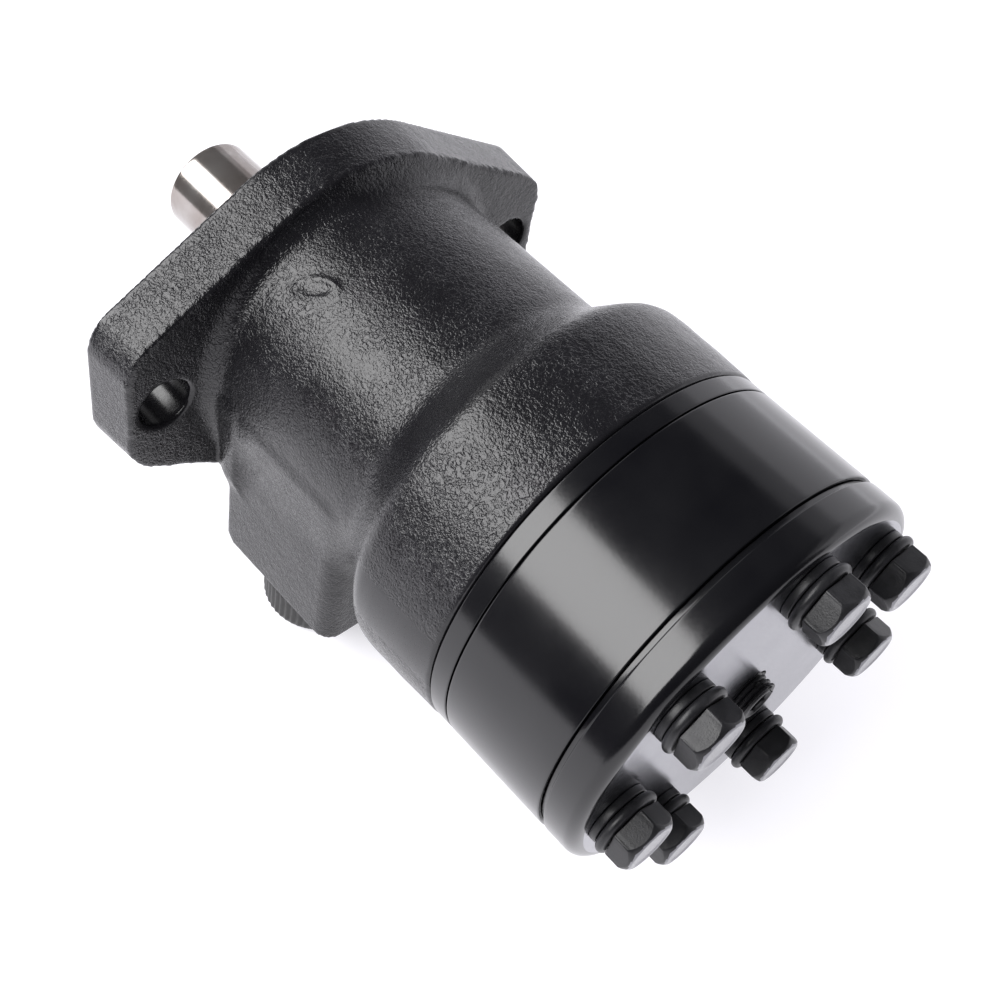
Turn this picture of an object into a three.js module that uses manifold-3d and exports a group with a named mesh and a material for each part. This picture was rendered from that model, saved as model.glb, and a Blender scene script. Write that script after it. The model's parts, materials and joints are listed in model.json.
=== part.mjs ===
// Orbital (roller-gerotor) hydraulic motor with a two-bolt flange, a cast housing with
// side ports, a spacer plate, a roller stator, an end cover and seven through bolts.
//
// Units are millimetres. +X runs out along the output shaft, +Z points away from the
// ports and +Y completes the right-handed frame. The origin is the middle of the
// flange's mounting face, on the shaft's axis, so the body of the motor lies at -X.

import * as THREE from 'three';
import { mergeVertices } from 'three/addons/utils/BufferGeometryUtils.js';
import Module from 'manifold-3d';

const wasm = await Module();
wasm.setup();

// ---------- driving dimensions ----------

const GAP = 0.3; // clearance kept between touching pieces
const BODY_SEGMENTS = 44; // sides of the large turned pieces
const BORE_SEGMENTS = 28; // sides of the bores and of the small turned pieces

// flange
const FLANGE_T = 14.4;
const FLANGE_R = 46.5; // round middle of the flange
const FLANGE_HALF_LENGTH = 64;
const FLANGE_TANGENT = THREE.MathUtils.degToRad(30); // slope of the straight sides
const FLANGE_CORNER_R = 5;
const FLANGE_DRAFT = 0.018; // how much smaller the rear outline is, as a fraction
const HOLE_SPACING = 106.4;
const HOLE_R = 6.75;
const SPIGOT_R = 41.25;
const SPIGOT_T = 2.4;

// housing
const BARREL_R = 40.3;
const HOUSING_END = -104;
const DRUM_R = 50.9; // widest part of the cast drum
const BODY_R = 50.1; // plate, stator and cover
const CHEEK_Y = 38; // half width of the port block
const BLOCK_FRONT = -18;
const BLOCK_REAR = -60;
const BLOCK_CORNER_R = 5;
const PORT_FACE_Z = -57.3;

// stack behind the housing
const PLATE_T = 4.8;
const STATOR_T = 28.4;
const COVER_T = 10.1;
const PLATE_FRONT = HOUSING_END - GAP;
const PLATE_REAR = PLATE_FRONT - PLATE_T;
const STATOR_FRONT = PLATE_REAR - GAP;
const STATOR_REAR = STATOR_FRONT - STATOR_T;
const COVER_FRONT = STATOR_REAR - GAP;
const COVER_REAR = COVER_FRONT - COVER_T;

const COVER_GROOVE_W = 1.1;
const COVER_GROOVE_R = BODY_R - 1;
const CENTRE_PLUG_R = 5.2;
const CENTRE_PLUG_PROUD = 3.8;
const CENTRE_PLUG_PITCH = 2;
const CENTRE_PLUG_THREAD = 0.8; // depth of the thread
const CENTRE_SOCKET_R = 2.9;
const CENTRE_SOCKET_DEPTH = 4;

// O-rings in the face grooves of the stack
const ORING_R = 46.5;
const ORING_SECTION_R = 0.8;
const ORING_SECTION_SIDES = 5;
const ORING_GROOVE_HALF = ORING_SECTION_R + GAP;
const ORING_GROOVE_DEPTH = 2.1;
const ORING_SEGMENTS = 24;

// bolts through the stack
const BOLT_COUNT = 7;
const BOLT_CIRCLE_R = 38.65;
const BOLT_PHASE = Math.PI / 2; // one bolt sits straight above the shaft
const BOLT_R = 3.9;
const BOLT_HOLE_R = 4.3;
const BOLT_HOLE_SEGMENTS = 10;
const BOLT_HOLE_DEPTH = 20;
const BOLT_END_GAP = 2;
const HEAD_FLATS = 13;
const HEAD_T = 5.9;
const FLAT_WASHER_R = 7.4; // against the cover
const FLAT_WASHER_T = 1.6;
const LOCK_WASHER_R = 8.2; // under the head, with a rounded edge
const LOCK_WASHER_T = 2.1;
const WASHER_SEGMENTS = 14;
// how far each bolt's hexagon is turned about its own axis, in degrees
const HEAD_TURNS = [32, 52, 2, 56, 20, 54, 32];

// gear set
const ROLLER_COUNT = 7;
const LOBE_COUNT = ROLLER_COUNT - 1;
const ROLLER_R = 7.9;
const ROLLER_CIRCLE_R = 32.2;
const ROLLER_PHASE = -Math.PI / 2; // one roller sits straight below the shaft
const POCKET_R = ROLLER_R + GAP;
const STATOR_BORE_R = 31.2;
const ORBIT_R = 3.1; // distance from the shaft's axis to the star's axis
const STAR_CLEARANCE = 0.3;
const STAR_POINT_DRAW = 0.66;

// shaft and spool valve
const SHAFT_R = 12.5;
const SHAFT_END = 45;
const SHAFT_CHAMFER = 1.2;
const SEAL_LAND_R = 14;
const SEAL_LAND_FRONT = 3;
const SPOOL_R = 21.7;
const SPOOL_FRONT = -19.7;
const SPOOL_REAR = -98;
const SPOOL_BORE_R = SPOOL_R + GAP;
const TIMING_X = -44; // where the timing holes meet the spool
const ANNULUS_FRONT_X = -36;
const ANNULUS_REAR_X = -52;
const ANNULUS_W = 6;
const ANNULUS_R = 24.6;
const CHANNEL_R = 2.5;
const CHANNEL_CIRCLE_R = 28.6;
const TIMING_HOLE_R = 1.8;
const SHAFT_GROOVE_DEPTH = 2.2;
const SLOT_W = 4.4;
const SLOT_T = 3;
const SLOT_PAST_TIMING = 2; // how far each slot runs past the timing holes

// key
const KEY_W = 8;
const KEY_H = 7;
const KEY_LENGTH = 32;
const KEY_REAR = 8;
const KEY_DEPTH = 4;
const KEY_ANGLE = THREE.MathUtils.degToRad(-120);

// seals and thrust bearing behind the mounting face
const DUST_SEAL_BORE_R = 19;
const DUST_SEAL_REAR = -3;
const SEAL_BORE_R = 18.5;
const SEAL_BORE_REAR = -12.5;
const SEAL_SHOULDER_R = 14.8;
const SEAL_SHOULDER_T = 2;
const RACE_T = 1.5;
const RACE_R = 21.6;
const CAGE_T = 1.8;
const CAGE_R = 21.3;
const NEEDLE_R = 1.4;
const NEEDLE_COUNT = 10;
const NEEDLE_INNER = 15.6;
const NEEDLE_OUTER = 20.6;
const BEARING_MIDDLE = -16.1;

// drive link (cardan shaft) between the spool and the star
const LINK_FRONT_PIVOT = -54;
const LINK_REAR_PIVOT = -122;
const LINK_HEAD_T = 12;
const LINK_NECK_R = 7.6;
const SPLINE_TEETH = 12;
const SPLINE_HOLE = { tip: 11.2, root: 9.2, tipHalf: 5, rootHalf: 9.2 };
const SPLINE_LINK = { tip: 10.6, root: 8.6, tipHalf: 2.8, rootHalf: 6.5 };
const SPOOL_HOLLOW_R = 13.5;

// ports
const PORT_X = -38.9;
const PORT_Y = 22.8;
const PORT_R = 10.2;
const PORT_DEPTH = 17;
const FEED_R = 3.5;
const FEED_Y = 20;
const PLUG_CAP_R = 14.6;
const PLUG_CAP_T = 12;
const PLUG_KNURLS = 48;
const PLUG_KNURL_DEPTH = 0.4;
const DRAIN_X = -27;
const DRAIN_R = 6;
const DRAIN_HEAD_R = 9;
const DRAIN_HEAD_T = 4;
const DRAIN_SOCKET_R = 3.4;
const DRAIN_WASHER_T = 1.2;
const DRAIN_DEPTH = 10;
const DRAIN_FEED_R = 2.4; // narrow hole from the drain up to the shaft's bore

// ---------- materials ----------

function paint(colour, roughness, metalness) {
  return new THREE.MeshStandardMaterial({ color: colour, roughness, metalness });
}

const castBlack = () => paint(0x2b2b2d, 0.55, 0.2);
const satinBlack = () => paint(0x1c1c1e, 0.3, 0.4);
const oxideBlack = () => paint(0x232325, 0.4, 0.6);
const polishedSteel = () => paint(0xb9b4ad, 0.18, 1.0);
const groundSteel = () => paint(0x9a9da1, 0.3, 1.0);
const blackRubber = () => paint(0x151515, 0.8, 0.0);
const blackPlastic = () => paint(0x1a1a1b, 0.5, 0.0);

// ---------- solids ----------

// A closed geometry as a manifold: only positions are kept, shared vertices are merged
// and the slivers that a lathe leaves on its axis are dropped.
function solid(geometry) {
  geometry.deleteAttribute('normal');
  geometry.deleteAttribute('uv');
  const merged = mergeVertices(geometry, 1e-4);
  const source = merged.index.array;
  const kept = [];
  for (let i = 0; i < source.length; i += 3) {
    const [a, b, c] = [source[i], source[i + 1], source[i + 2]];
    if (a !== b && b !== c && c !== a) {
      kept.push(a, b, c);
    }
  }
  return new wasm.Manifold(
    new wasm.Mesh({
      numProp: 3,
      vertProperties: Float32Array.from(merged.attributes.position.array),
      triVerts: Uint32Array.from(kept),
    }),
  );
}

function geometryOf(manifold) {
  const mesh = manifold.getMesh();
  const geometry = new THREE.BufferGeometry();
  geometry.setAttribute('position', new THREE.BufferAttribute(mesh.vertProperties, 3));
  geometry.setIndex(new THREE.BufferAttribute(mesh.triVerts, 1));
  return geometry;
}

// A ring or disc turned about the X axis. The profile is a closed loop of [x, radius]
// points, listed so that x rises along the outside and falls along the inside.
function turned(profile, segments = BORE_SEGMENTS) {
  const points = [...profile, profile[0]].map(([x, r]) => new THREE.Vector2(r, x));
  return solid(new THREE.LatheGeometry(points, segments).rotateZ(-Math.PI / 2));
}

// A plain ring or, with no inner radius, a plain disc between two stations on X.
function ring(rear, front, outer, inner = 0, segments = BORE_SEGMENTS) {
  const outside = [[front, outer], [rear, outer]];
  return turned([[front, inner], ...outside, [rear, inner]].reverse(), segments);
}

// A flat outline in the Y-Z plane, pulled along X from the rear to the front station.
function pulledAlongX(shape, rear, front, curveSegments = 7) {
  const geometry = new THREE.ExtrudeGeometry(shape, {
    depth: front - rear,
    bevelEnabled: false,
    curveSegments,
  });
  const toYz = new THREE.Matrix4().makeBasis(
    new THREE.Vector3(0, 1, 0),
    new THREE.Vector3(0, 0, 1),
    new THREE.Vector3(1, 0, 0),
  );
  return solid(geometry.applyMatrix4(toYz).translate(rear, 0, 0));
}

// A flat outline in the X-Y plane, pulled up along Z.
function pulledUp(shape, bottom, top, curveSegments = 8) {
  const geometry = new THREE.ExtrudeGeometry(shape, {
    depth: top - bottom,
    bevelEnabled: false,
    curveSegments,
  });
  return solid(geometry.translate(0, 0, bottom));
}

// A round bar along X, Z or any direction given by its two ends.
function bar(start, end, radius, segments = 16) {
  const from = new THREE.Vector3(...start);
  const to = new THREE.Vector3(...end);
  const geometry = new THREE.CylinderGeometry(radius, radius, from.distanceTo(to), segments);
  const direction = to.clone().sub(from).normalize();
  const turn = new THREE.Quaternion().setFromUnitVectors(new THREE.Vector3(0, 1, 0), direction);
  const middle = from.clone().add(to).multiplyScalar(0.5);
  return solid(geometry.applyQuaternion(turn).translate(...middle.toArray()));
}

function box(xs, ys, zs) {
  const geometry = new THREE.BoxGeometry(xs[1] - xs[0], ys[1] - ys[0], zs[1] - zs[0]);
  const middle = [xs, ys, zs].map(([low, high]) => (low + high) / 2);
  return solid(geometry.translate(...middle));
}

function joined(solids) {
  return solids.reduce((whole, next) => whole.add(next));
}

function cut(body, tools) {
  return tools.reduce((left, tool) => left.subtract(tool), body);
}

// The point on a circle about the shaft's axis, as [y, z].
function onCircle(radius, angle) {
  return [radius * Math.cos(angle), radius * Math.sin(angle)];
}

function boltAngle(index) {
  return BOLT_PHASE - (index * 2 * Math.PI) / BOLT_COUNT;
}

function rollerAngle(index) {
  return ROLLER_PHASE + (index * 2 * Math.PI) / ROLLER_COUNT;
}

// Bars at every bolt's place, for cutting the bolt holes.
function boltHoles(rear, front, radius = BOLT_HOLE_R) {
  return Array.from({ length: BOLT_COUNT }, (_, index) => {
    const place = onCircle(BOLT_CIRCLE_R, boltAngle(index));
    return bar([rear, ...place], [front, ...place], radius, BOLT_HOLE_SEGMENTS);
  });
}

// The seven oil channels that lead to the chambers between the rollers.
function channels(rear, front) {
  return Array.from({ length: BOLT_COUNT }, (_, index) => {
    const place = onCircle(CHANNEL_CIRCLE_R, boltAngle(index));
    return bar([rear, ...place], [front, ...place], CHANNEL_R, 6);
  });
}

// ---------- housing ----------

// The flange: a round middle, straight sides that run down to both ends at the tangent
// slope, and flat ends with rounded corners. A larger inset gives a smaller outline.
function flangeShape(inset) {
  const round = FLANGE_R - inset;
  const end = FLANGE_HALF_LENGTH - inset;
  const touch = Math.PI / 2 - FLANGE_TANGENT;
  const corner = FLANGE_CORNER_R - inset;
  // centre of the corner arc, at one corner radius from the end and from the side
  const centreY = end - corner;
  const centreZ = (round - corner - centreY * Math.cos(touch)) / Math.sin(touch);
  const shape = new THREE.Shape();
  shape.absarc(centreY, -centreZ, corner, -touch, 0, false);
  shape.absarc(centreY, centreZ, corner, 0, touch, false);
  shape.absarc(0, 0, round, touch, Math.PI - touch, false);
  shape.absarc(-centreY, centreZ, corner, Math.PI - touch, Math.PI, false);
  shape.absarc(-centreY, -centreZ, corner, Math.PI, Math.PI + touch, false);
  shape.absarc(0, 0, round, Math.PI + touch, 2 * Math.PI - touch, false);
  return shape;
}

function flangePlate() {
  const plate = pulledAlongX(flangeShape(0), -FLANGE_T, 0).warp((vertex) => {
    const scale = 1 + (FLANGE_DRAFT * vertex[0]) / FLANGE_T;
    vertex[1] *= scale;
    vertex[2] *= scale;
  });
  return plate.add(ring(-FLANGE_T / 2, SPIGOT_T, SPIGOT_R, 0, BODY_SEGMENTS));
}

// Barrel, shoulder and drum in one turned profile, from the flange to the rear face.
function castBody() {
  const outside = [
    [-FLANGE_T + 1, BARREL_R + 4.2],
    [-FLANGE_T - 0.9, BARREL_R + 2.6],
    [-FLANGE_T - 2.4, BARREL_R + 1],
    [-FLANGE_T - 4.6, BARREL_R],
    [-64.5, BARREL_R],
    [-67.5, 41.1],
    [-70, 42.6],
    [-76, 48],
    [-78.4, 50],
    [-81.5, DRUM_R],
    [HOUSING_END, BODY_R],
  ];
  return turned([[-FLANGE_T + 1, 0], ...outside, [HOUSING_END, 0]].reverse(), BODY_SEGMENTS);
}

function blockShape(front, halfWidth) {
  const shape = new THREE.Shape();
  const rear = BLOCK_REAR + BLOCK_CORNER_R;
  const side = halfWidth - BLOCK_CORNER_R;
  shape.moveTo(front, -halfWidth);
  shape.lineTo(front, halfWidth);
  shape.absarc(rear, side, BLOCK_CORNER_R, Math.PI / 2, Math.PI, false);
  shape.absarc(rear, -side, BLOCK_CORNER_R, Math.PI, 1.5 * Math.PI, false);
  return shape;
}

// The port block below the barrel; inside the flange's outline it reaches the flange.
function portBlock() {
  const block = pulledUp(blockShape(BLOCK_FRONT, CHEEK_Y), PORT_FACE_Z, -8, 4);
  const root = pulledAlongX(flangeShape(2), BLOCK_FRONT - 1, -FLANGE_T + 1);
  const reach = box([BLOCK_FRONT - 2, 0], [-CHEEK_Y, CHEEK_Y], [PORT_FACE_Z, -8]);
  return block.add(root.intersect(reach));
}

// The stepped bore: dust seal, shaft seal, thrust bearing and spool, front to rear.
function steppedBore() {
  const steps = [
    [SPIGOT_T + 1, DUST_SEAL_BORE_R],
    [DUST_SEAL_REAR, DUST_SEAL_BORE_R],
    [DUST_SEAL_REAR, SEAL_SHOULDER_R],
    [DUST_SEAL_REAR - SEAL_SHOULDER_T, SEAL_SHOULDER_R],
    [DUST_SEAL_REAR - SEAL_SHOULDER_T, SEAL_BORE_R],
    [SEAL_BORE_REAR, SEAL_BORE_R],
    [SEAL_BORE_REAR, SPOOL_BORE_R],
    [ANNULUS_FRONT_X + ANNULUS_W / 2, SPOOL_BORE_R],
    [ANNULUS_FRONT_X + ANNULUS_W / 2, ANNULUS_R],
    [ANNULUS_FRONT_X - ANNULUS_W / 2, ANNULUS_R],
    [ANNULUS_FRONT_X - ANNULUS_W / 2, SPOOL_BORE_R],
    [ANNULUS_REAR_X + ANNULUS_W / 2, SPOOL_BORE_R],
    [ANNULUS_REAR_X + ANNULUS_W / 2, ANNULUS_R],
    [ANNULUS_REAR_X - ANNULUS_W / 2, ANNULUS_R],
    [ANNULUS_REAR_X - ANNULUS_W / 2, SPOOL_BORE_R],
    [HOUSING_END - 1, SPOOL_BORE_R],
  ];
  return turned([[SPIGOT_T + 1, 0], ...steps, [HOUSING_END - 1, 0]].reverse());
}

// Each port's threaded bore, and the feed from it up to its own groove round the spool.
function portBores() {
  const feeds = [[PORT_Y, FEED_Y, ANNULUS_FRONT_X], [-PORT_Y, -FEED_Y, ANNULUS_REAR_X + 4]];
  return feeds.flatMap(([portY, feedY, feedX]) => [
    bar([PORT_X, portY, PORT_FACE_Z - 1], [PORT_X, portY, PORT_FACE_Z + PORT_DEPTH], PORT_R, 24),
    bar([feedX, feedY, PORT_FACE_Z + PORT_DEPTH - 1], [feedX, feedY, -13], FEED_R, 10),
  ]);
}

// Radial timing holes from the spool to the seven channels.
function timingHoles() {
  return Array.from({ length: BOLT_COUNT }, (_, index) => {
    const inner = onCircle(SPOOL_BORE_R - 1, boltAngle(index));
    const outer = onCircle(CHANNEL_CIRCLE_R, boltAngle(index));
    return bar([TIMING_X, ...inner], [TIMING_X, ...outer], TIMING_HOLE_R, 6);
  });
}

// The face groove that an O-ring lies in, open toward the rear or toward the front.
function oringGroove(face, side) {
  const floor = face - side * ORING_GROOVE_DEPTH;
  const mouth = face + side;
  const [rear, front] = [Math.min(floor, mouth), Math.max(floor, mouth)];
  return ring(rear, front, ORING_R + ORING_GROOVE_HALF, ORING_R - ORING_GROOVE_HALF, ORING_SEGMENTS);
}

function housing() {
  const body = joined([flangePlate(), castBody(), portBlock()]);
  const flangeHoles = [HOLE_SPACING / 2, -HOLE_SPACING / 2].map((y) =>
    bar([-FLANGE_T - 1, y, 0], [1, y, 0], HOLE_R, 24),
  );
  const drainEnd = PORT_FACE_Z + DRAIN_DEPTH + 2;
  const drain = bar([DRAIN_X, 0, PORT_FACE_Z - 1], [DRAIN_X, 0, drainEnd], DRAIN_R, 16);
  const drainFeed = bar([DRAIN_X, 0, drainEnd - 1], [DRAIN_X, 0, -18], DRAIN_FEED_R, 10);
  return cut(body, [
    steppedBore(),
    ...flangeHoles,
    ...portBores(),
    drain,
    drainFeed,
    ...boltHoles(HOUSING_END - 1, HOUSING_END + BOLT_HOLE_DEPTH),
    ...channels(HOUSING_END - 1, TIMING_X - 1.5),
    ...timingHoles(),
    oringGroove(HOUSING_END, -1),
  ]);
}

// ---------- shaft, key and front seals ----------

// A splined outline: the tip and root radii, with the half widths of a tooth's tip and
// of its root in degrees.
function splineShape({ tip, root, tipHalf, rootHalf }) {
  const points = [];
  for (let tooth = 0; tooth < SPLINE_TEETH; tooth += 1) {
    const middle = (tooth * 360) / SPLINE_TEETH;
    const corners = [[-rootHalf, root], [-tipHalf, tip], [tipHalf, tip], [rootHalf, root]];
    for (const [offset, radius] of corners) {
      const angle = THREE.MathUtils.degToRad(middle + offset);
      points.push(new THREE.Vector2(...onCircle(radius, angle)));
    }
  }
  return new THREE.Shape(points);
}

// A keyway or key, lying along X at the key's angle: length, width and radial reach.
function keyBlock(rear, front, width, inner, outer) {
  const half = width / 2;
  const shape = new THREE.Shape();
  shape.absarc(front - half, 0, half, -Math.PI / 2, Math.PI / 2, false);
  shape.absarc(rear + half, 0, half, Math.PI / 2, 1.5 * Math.PI, false);
  const geometry = new THREE.ExtrudeGeometry(shape, {
    depth: outer - inner,
    bevelEnabled: false,
    curveSegments: 6,
  });
  return solid(geometry.translate(0, 0, inner).rotateX(KEY_ANGLE - Math.PI / 2));
}

function outputShaft() {
  const profile = [
    [SHAFT_END, 0],
    [SHAFT_END, SHAFT_R - SHAFT_CHAMFER],
    [SHAFT_END - SHAFT_CHAMFER, SHAFT_R],
    [SEAL_LAND_FRONT + 1, SHAFT_R],
    [SEAL_LAND_FRONT, SEAL_LAND_R],
    [SPOOL_FRONT, SEAL_LAND_R],
    [SPOOL_FRONT, SPOOL_R],
    [SPOOL_REAR, SPOOL_R],
    [SPOOL_REAR, SPOOL_HOLLOW_R],
    [LINK_FRONT_PIVOT - LINK_HEAD_T / 2 - 1, SPOOL_HOLLOW_R],
    [LINK_FRONT_PIVOT - LINK_HEAD_T / 2 - 1, 0],
  ];
  const blank = turned(profile.reverse());
  const spline = pulledAlongX(
    splineShape(SPLINE_HOLE),
    LINK_FRONT_PIVOT - LINK_HEAD_T / 2 - 2,
    LINK_FRONT_PIVOT + LINK_HEAD_T / 2 + 1.5,
  );
  const keyFloor = SHAFT_R - KEY_DEPTH;
  const keyway = keyBlock(
    KEY_REAR,
    KEY_REAR + KEY_LENGTH,
    KEY_W,
    keyFloor,
    SHAFT_R + KEY_H,
  );
  const ringGrooves = [ANNULUS_FRONT_X, ANNULUS_REAR_X].map((x) =>
    ring(x - ANNULUS_W / 2, x + ANNULUS_W / 2, SPOOL_R + 1, SPOOL_R - SHAFT_GROOVE_DEPTH),
  );
  // six slots run back from the front groove and six run forward from the rear one
  const slots = Array.from({ length: 2 * LOBE_COUNT }, (_, index) => {
    const reach = index % 2 === 0
      ? [TIMING_X - SLOT_PAST_TIMING, ANNULUS_FRONT_X]
      : [ANNULUS_REAR_X, TIMING_X + SLOT_PAST_TIMING];
    const slot = new THREE.BoxGeometry(reach[1] - reach[0], SLOT_W, SLOT_T);
    slot.translate((reach[0] + reach[1]) / 2, 0, SPOOL_R);
    return solid(slot.rotateX((index * Math.PI) / LOBE_COUNT));
  });
  return cut(blank, [spline, keyway, ...ringGrooves, ...slots]);
}

function shaftKey() {
  const floor = SHAFT_R - KEY_DEPTH;
  return keyBlock(
    KEY_REAR + GAP,
    KEY_REAR + KEY_LENGTH - GAP,
    KEY_W - 2 * GAP,
    floor + GAP,
    floor + KEY_H,
  );
}

// The dust seal's lip leans forward and comes closest to the shaft near its front.
function dustSeal() {
  const rear = DUST_SEAL_REAR + GAP;
  const front = SPIGOT_T - 0.4;
  const outer = DUST_SEAL_BORE_R - GAP;
  const inner = SEAL_LAND_R + 0.4;
  return turned([
    [rear, outer],
    [front, outer],
    [front, inner + 0.8],
    [front - 1.1, inner],
    [rear, inner + 0.5],
  ]);
}

// The lip seal has a groove at the back, where the oil presses its lips apart.
function shaftSeal() {
  const front = DUST_SEAL_REAR - SEAL_SHOULDER_T - GAP;
  const rear = SEAL_BORE_REAR + GAP;
  const outer = SEAL_BORE_R - GAP;
  const inner = SEAL_LAND_R + 0.4;
  const middle = (outer + inner) / 2;
  return turned([
    [front, outer],
    [front, inner],
    [rear, inner],
    [rear, inner + 1.1],
    [rear + 3.6, middle],
    [rear, outer - 1.1],
    [rear, outer],
  ]);
}

function needleCage() {
  const half = CAGE_T / 2;
  const bore = SEAL_LAND_R + 0.8;
  const cage = ring(BEARING_MIDDLE - half, BEARING_MIDDLE + half, CAGE_R, bore, 24);
  const needles = Array.from({ length: NEEDLE_COUNT }, (_, index) => {
    const angle = (index * 2 * Math.PI) / NEEDLE_COUNT;
    const inner = onCircle(NEEDLE_INNER, angle);
    const outer = onCircle(NEEDLE_OUTER, angle);
    return bar([BEARING_MIDDLE, ...inner], [BEARING_MIDDLE, ...outer], NEEDLE_R, 6);
  });
  return joined([cage, ...needles]);
}

function thrustRace(side) {
  const middle = BEARING_MIDDLE + side * (NEEDLE_R + GAP + RACE_T / 2);
  return ring(middle - RACE_T / 2, middle + RACE_T / 2, RACE_R, SEAL_LAND_R + 0.4, 24);
}

// ---------- drive link and gear set ----------

// The link along its own axis, measured from its front pivot back toward the star.
function driveLink() {
  const span = LINK_FRONT_PIVOT - LINK_REAR_PIVOT;
  const half = LINK_HEAD_T / 2;
  const front = pulledAlongX(splineShape(SPLINE_LINK), -half, half);
  const rear = pulledAlongX(splineShape(SPLINE_LINK), -span - half, -span + half);
  return joined([front, rear, ring(-span, 0, LINK_NECK_R, 0, 20)]);
}

function spacerPlate() {
  const plate = ring(PLATE_REAR, PLATE_FRONT, BODY_R, 14.5, BODY_SEGMENTS);
  return cut(plate, [
    ...boltHoles(PLATE_REAR - 1, PLATE_FRONT + 1),
    ...channels(PLATE_REAR - 1, PLATE_FRONT + 1),
  ]);
}

function statorRing() {
  const body = ring(STATOR_REAR, STATOR_FRONT, BODY_R, STATOR_BORE_R, BODY_SEGMENTS);
  const pockets = Array.from({ length: ROLLER_COUNT }, (_, index) => {
    const place = onCircle(ROLLER_CIRCLE_R, rollerAngle(index));
    return bar([STATOR_REAR - 1, ...place], [STATOR_FRONT + 1, ...place], POCKET_R, 20);
  });
  return cut(body, [
    ...pockets,
    ...boltHoles(STATOR_REAR - 1, STATOR_FRONT + 1),
    oringGroove(STATOR_FRONT, 1),
  ]);
}

function roller() {
  return ring(STATOR_REAR + GAP, STATOR_FRONT - GAP, ROLLER_R, 0, 20);
}

// The star's outline is the curve that keeps touching every roller as the star orbits:
// an epitrochoid-like path of the roller centres, moved inward by the roller's radius.
function starShape(count = 108) {
  const reach = ROLLER_R + STAR_CLEARANCE;
  const ratio = (ORBIT_R * ROLLER_COUNT) / ROLLER_CIRCLE_R;
  const points = Array.from({ length: count }, (_, index) => {
    const even = (index * 2 * Math.PI) / count;
    // the points are drawn together in the hollows, where the outline moves fastest
    const t = even - (STAR_POINT_DRAW / LOBE_COUNT) * Math.sin(LOBE_COUNT * even);
    const size = Math.sqrt(1 + ratio * ratio - 2 * ratio * Math.cos(LOBE_COUNT * t));
    const y =
      ROLLER_CIRCLE_R * Math.cos(t) -
      ORBIT_R * Math.cos(ROLLER_COUNT * t) -
      (reach * (Math.cos(t) - ratio * Math.cos(ROLLER_COUNT * t))) / size;
    const z =
      ROLLER_CIRCLE_R * Math.sin(t) -
      ORBIT_R * Math.sin(ROLLER_COUNT * t) -
      (reach * (Math.sin(t) - ratio * Math.sin(ROLLER_COUNT * t))) / size;
    return new THREE.Vector2(y, z);
  });
  return new THREE.Shape(points);
}

function starRotor() {
  const star = pulledAlongX(starShape(), STATOR_REAR + GAP, STATOR_FRONT - GAP);
  const spline = pulledAlongX(splineShape(SPLINE_HOLE), STATOR_REAR, STATOR_FRONT);
  return star.subtract(spline);
}

function thrustSpacer() {
  return ring(STATOR_REAR + 0.8, STATOR_REAR + 4.6, SPLINE_HOLE.root - 2 * GAP, 0, 24);
}

// ---------- cover and fasteners ----------

function endCover() {
  const profile = [
    [COVER_FRONT, 0],
    [COVER_FRONT, COVER_GROOVE_R],
    [COVER_FRONT - COVER_GROOVE_W, COVER_GROOVE_R],
    [COVER_FRONT - COVER_GROOVE_W - 0.3, BODY_R],
    [COVER_REAR + 4, BODY_R],
    [COVER_REAR + 2.2, BODY_R - 0.4],
    [COVER_REAR + 0.6, BODY_R - 1.5],
    [COVER_REAR, BODY_R - 2.7],
    [COVER_REAR, 0],
  ];
  const centre = bar([COVER_REAR - 1, 0, 0], [COVER_FRONT + 1, 0, 0], CENTRE_PLUG_R + GAP, 24);
  return cut(turned(profile.reverse(), BODY_SEGMENTS), [
    centre,
    ...boltHoles(COVER_REAR - 1, COVER_FRONT + 1),
    oringGroove(COVER_FRONT, 1),
  ]);
}

// The threaded plug in the middle of the cover stands proud and has a hexagon socket.
function centrePlug() {
  const threads = [];
  const rear = COVER_REAR - CENTRE_PLUG_PROUD;
  const root = CENTRE_PLUG_R - CENTRE_PLUG_THREAD;
  for (let x = COVER_FRONT - 1.5; x > rear + 2 * CENTRE_PLUG_PITCH; x -= CENTRE_PLUG_PITCH) {
    threads.push([x, root]);
    threads.push([x - CENTRE_PLUG_PITCH / 2, CENTRE_PLUG_R]);
  }
  const profile = [
    [COVER_FRONT - GAP, 0],
    [COVER_FRONT - GAP, root],
    ...threads,
    [rear + 1, root],
    [rear, root - 0.6],
    [rear, 0],
  ];
  const socket = bar([rear - 1, 0, 0], [rear + CENTRE_SOCKET_DEPTH, 0, 0], CENTRE_SOCKET_R, 6);
  return turned(profile.reverse(), 14).subtract(socket);
}

// One bolt along X at the origin of Y and Z: hexagon head with a domed chamfer, shank.
function coverBolt() {
  const seat = COVER_REAR - FLAT_WASHER_T - LOCK_WASHER_T - 3 * GAP;
  const top = seat - HEAD_T;
  const cornerR = HEAD_FLATS / Math.sqrt(3);
  const hexagon = bar([top, 0, 0], [seat, 0, 0], cornerR, 6);
  const dome = turned([
    [top, 0],
    [top, HEAD_FLATS / 2 - 0.4],
    [top + 1.1, cornerR],
    [seat, cornerR],
    [seat, 0],
  ], 18);
  const end = HOUSING_END + BOLT_HOLE_DEPTH - BOLT_END_GAP;
  const shank = ring(seat - 1, end, BOLT_R, 0, 10);
  return hexagon.intersect(dome).add(shank);
}

function flatWasher() {
  const front = COVER_REAR - GAP;
  const rear = front - FLAT_WASHER_T;
  return ring(rear, front, FLAT_WASHER_R, BOLT_HOLE_R, WASHER_SEGMENTS);
}

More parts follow.
